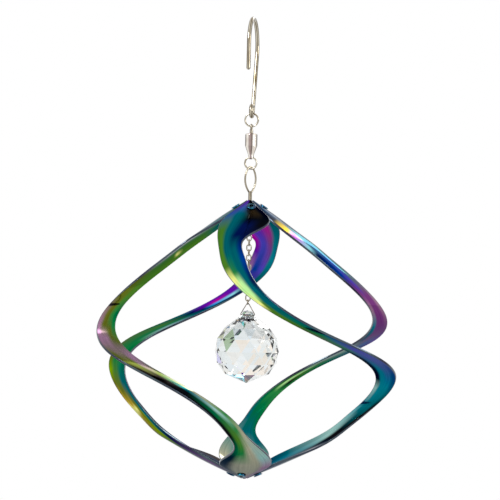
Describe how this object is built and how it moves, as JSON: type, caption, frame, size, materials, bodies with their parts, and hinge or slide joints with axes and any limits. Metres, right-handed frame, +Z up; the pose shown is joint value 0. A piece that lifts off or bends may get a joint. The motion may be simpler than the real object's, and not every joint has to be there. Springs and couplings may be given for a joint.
{
  "type": "crystal wind spinner ornament",
  "caption": "Hanging wind spinner: wire hook and swivel above a cage of twisted rainbow steel blades, with a faceted crystal ball on a chain inside.",
  "frame": {"origin": "highest point of the inside of the hook, where the spinner hangs", "axes": "+Z up, along the hanging line; the hook lies in the YZ plane with its free leg on the -Y side"},
  "size_m": [0.145, 0.145, 0.2149],
  "materials": {
    "hook_wire": "polished wire",
    "hardware": "polished",
    "swivel": "polished",
    "chain": "polished",
    "hub": "polished",
    "rainbow_steel": "mirror polished, iridescent green, teal, purple and gold",
    "crystal": "clear, cut in triangular facets"
  },
  "bodies": {
    "hook": {"hook": "hook_wire"},
    "upper_ring": {"upper_ring": "hardware"},
    "swivel_eye": {"swivel_eye": "swivel"},
    "barrel": {"swivel_barrel": "swivel", "swivel_balls": "swivel"},
    "lower_ring": {"lower_ring": "hardware"},
    "cage": {"hanger": "hardware", "top_hub": "hub", "top_rivets": "hub", "bottom_hub": "hub", "bottom_rivets": "hub", "blade_1": "rainbow_steel", "blade_2": "rainbow_steel", "blade_3": "rainbow_steel", "blade_4": "rainbow_steel"},
    "chain_link_01": {"chain_link_01": "chain"},
    "chain_link_02": {"chain_link_02": "chain"},
    "chain_link_03": {"chain_link_03": "chain"},
    "chain_link_04": {"chain_link_04": "chain"},
    "chain_link_05": {"chain_link_05": "chain"},
    "chain_link_06": {"chain_link_06": "chain"},
    "chain_link_07": {"chain_link_07": "chain"},
    "chain_link_08": {"chain_link_08": "chain"},
    "chain_link_09": {"chain_link_09": "chain"},
    "chain_link_10": {"chain_link_10": "chain"},
    "chain_link_11": {"chain_link_11": "chain"},
    "chain_link_12": {"chain_link_12": "chain"},
    "chain_link_13": {"chain_link_13": "chain"},
    "chain_link_14": {"chain_link_14": "chain"},
    "chain_link_15": {"chain_link_15": "chain"},
    "chain_link_16": {"chain_link_16": "chain"},
    "end_ring": {"end_ring": "chain"},
    "bail": {"bail": "chain"},
    "crystal": {"crystal": "crystal"}
  },
  "joints": [
    {"name": "upper_ring_swing", "type": "hinge", "parent": "hook", "child": "upper_ring", "pos_m": [0, 0, -0.04295], "axis": [1, 0, 0], "range_deg": [-30, 30]},
    {"name": "swivel_eye_swing", "type": "hinge", "parent": "upper_ring", "child": "swivel_eye", "pos_m": [0, 0, -0.0481], "axis": [0, 1, 0], "range_deg": [-20, 20]},
    {"name": "barrel_spin", "type": "hinge", "parent": "swivel_eye", "child": "barrel", "pos_m": [0, 0, -0.0523], "axis": [0, 0, 1], "continuous": true},
    {"name": "lower_ring_swing", "type": "hinge", "parent": "barrel", "child": "lower_ring", "pos_m": [0, 0, -0.0633], "axis": [1, 0, 0], "range_deg": [-20, 20]},
    {"name": "cage_swing", "type": "hinge", "parent": "lower_ring", "child": "cage", "pos_m": [0, 0, -0.0666], "axis": [0, 1, 0], "range_deg": [-12, 12]},
    {"name": "chain_link_01_swing", "type": "hinge", "parent": "cage", "child": "chain_link_01", "pos_m": [0, 0, -0.09303], "axis": [1, 0, 0], "range_deg": [-4, 4]},
    {"name": "chain_link_02_swing", "type": "hinge", "parent": "chain_link_01", "child": "chain_link_02", "pos_m": [0, 0, -0.09521], "axis": [0, 1, 0], "range_deg": [-4, 4]},
    {"name": "chain_link_03_swing", "type": "hinge", "parent": "chain_link_02", "child": "chain_link_03", "pos_m": [0, 0, -0.09754], "axis": [1, 0, 0], "range_deg": [-4, 4]},
    {"name": "chain_link_04_swing", "type": "hinge", "parent": "chain_link_03", "child": "chain_link_04", "pos_m": [0, 0, -0.09987], "axis": [0, 1, 0], "range_deg": [-4, 4]},
    {"name": "chain_link_05_swing", "type": "hinge", "parent": "chain_link_04", "child": "chain_link_05", "pos_m": [0, 0, -0.1022], "axis": [1, 0, 0], "range_deg": [-4, 4]},
    {"name": "chain_link_06_swing", "type": "hinge", "parent": "chain_link_05", "child": "chain_link_06", "pos_m": [0, 0, -0.10453], "axis": [0, 1, 0], "range_deg": [-4, 4]},
    {"name": "chain_link_07_swing", "type": "hinge", "parent": "chain_link_06", "child": "chain_link_07", "pos_m": [0, 0, -0.10686], "axis": [1, 0, 0], "range_deg": [-4, 4]},
    {"name": "chain_link_08_swing", "type": "hinge", "parent": "chain_link_07", "child": "chain_link_08", "pos_m": [0, 0, -0.10919], "axis": [0, 1, 0], "range_deg": [-4, 4]},
    {"name": "chain_link_09_swing", "type": "hinge", "parent": "chain_link_08", "child": "chain_link_09", "pos_m": [0, 0, -0.11152], "axis": [1, 0, 0], "range_deg": [-4, 4]},
    {"name": "chain_link_10_swing", "type": "hinge", "parent": "chain_link_09", "child": "chain_link_10", "pos_m": [0, 0, -0.11385], "axis": [0, 1, 0], "range_deg": [-4, 4]},
    {"name": "chain_link_11_swing", "type": "hinge", "parent": "chain_link_10", "child": "chain_link_11", "pos_m": [0, 0, -0.11618], "axis": [1, 0, 0], "range_deg": [-4, 4]},
    {"name": "chain_link_12_swing", "type": "hinge", "parent": "chain_link_11", "child": "chain_link_12", "pos_m": [0, 0, -0.11851], "axis": [0, 1, 0], "range_deg": [-4, 4]},
    {"name": "chain_link_13_swing", "type": "hinge", "parent": "chain_link_12", "child": "chain_link_13", "pos_m": [0, 0, -0.12084], "axis": [1, 0, 0], "range_deg": [-4, 4]},
    {"name": "chain_link_14_swing", "type": "hinge", "parent": "chain_link_13", "child": "chain_link_14", "pos_m": [0, 0, -0.12317], "axis": [0, 1, 0], "range_deg": [-4, 4]},
    {"name": "chain_link_15_swing", "type": "hinge", "parent": "chain_link_14", "child": "chain_link_15", "pos_m": [0, 0, -0.1255], "axis": [1, 0, 0], "range_deg": [-4, 4]},
    {"name": "chain_link_16_swing", "type": "hinge", "parent": "chain_link_15", "child": "chain_link_16", "pos_m": [0, 0, -0.12783], "axis": [0, 1, 0], "range_deg": [-4, 4]},
    {"name": "end_ring_swing", "type": "hinge", "parent": "chain_link_16", "child": "end_ring", "pos_m": [0, 0, -0.13016], "axis": [1, 0, 0], "range_deg": [-15, 15]},
    {"name": "bail_swing", "type": "hinge", "parent": "end_ring", "child": "bail", "pos_m": [0, 0, -0.13174], "axis": [0, 1, 0], "range_deg": [-15, 15]},
    {"name": "crystal_swing", "type": "hinge", "parent": "bail", "child": "crystal", "pos_m": [0, 0, -0.13679], "axis": [1, 0, 0], "range_deg": [-20, 20]}
  ]
}
